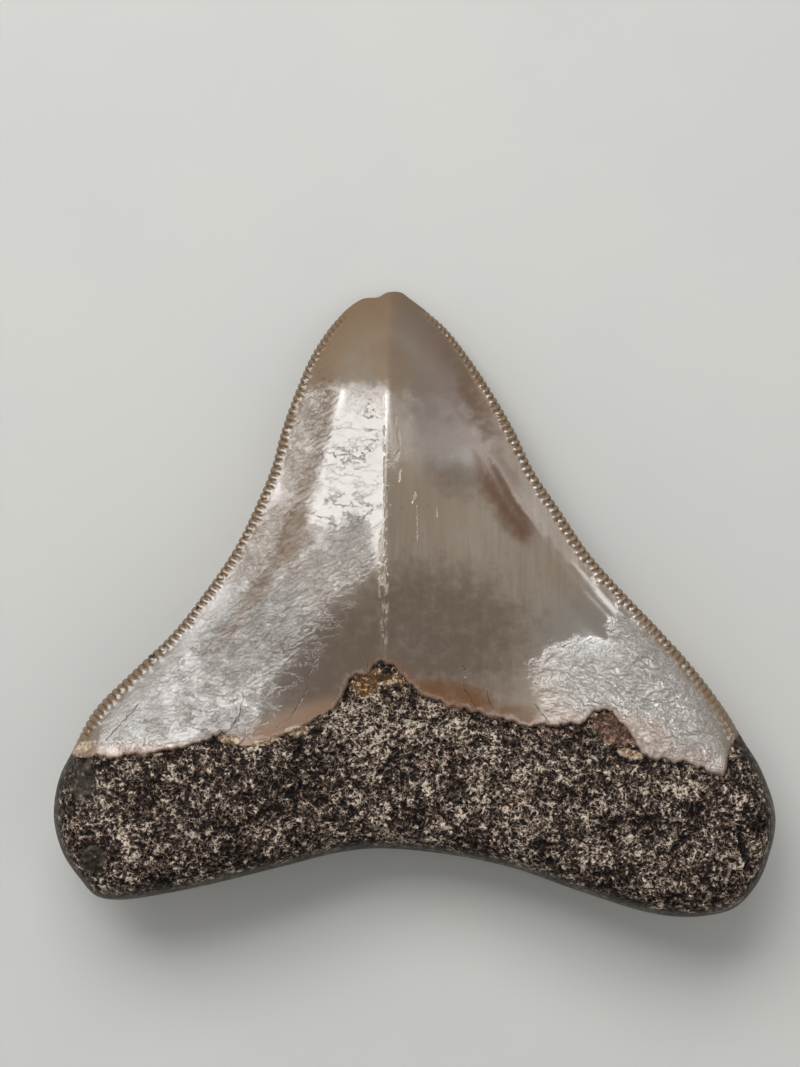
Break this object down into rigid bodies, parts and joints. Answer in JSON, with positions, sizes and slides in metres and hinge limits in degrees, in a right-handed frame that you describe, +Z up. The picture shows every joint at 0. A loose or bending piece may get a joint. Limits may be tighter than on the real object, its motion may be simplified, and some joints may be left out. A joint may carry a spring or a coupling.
{
  "type": "fossil shark tooth",
  "caption": "Broad triangular fossil shark tooth with serrated cutting edges, a glossy enamel crown and a rough dark root, lying flat with its lip side up.",
  "frame": {"origin": "middle of the tooth's box in plan, on the surface that it rests on", "axes": "+X across the root to its right lobe, +Y from the root to the tip, +Z up out of the lip side"},
  "size_m": [0.0722, 0.063, 0.0145],
  "materials": {
    "fossil_tooth": "Glossy grey-brown enamel with tan serrations, over a rough black-brown root flecked with beige"
  },
  "bodies": {
    "root": {"tooth": "fossil_tooth"}
  },
  "joints": []
}
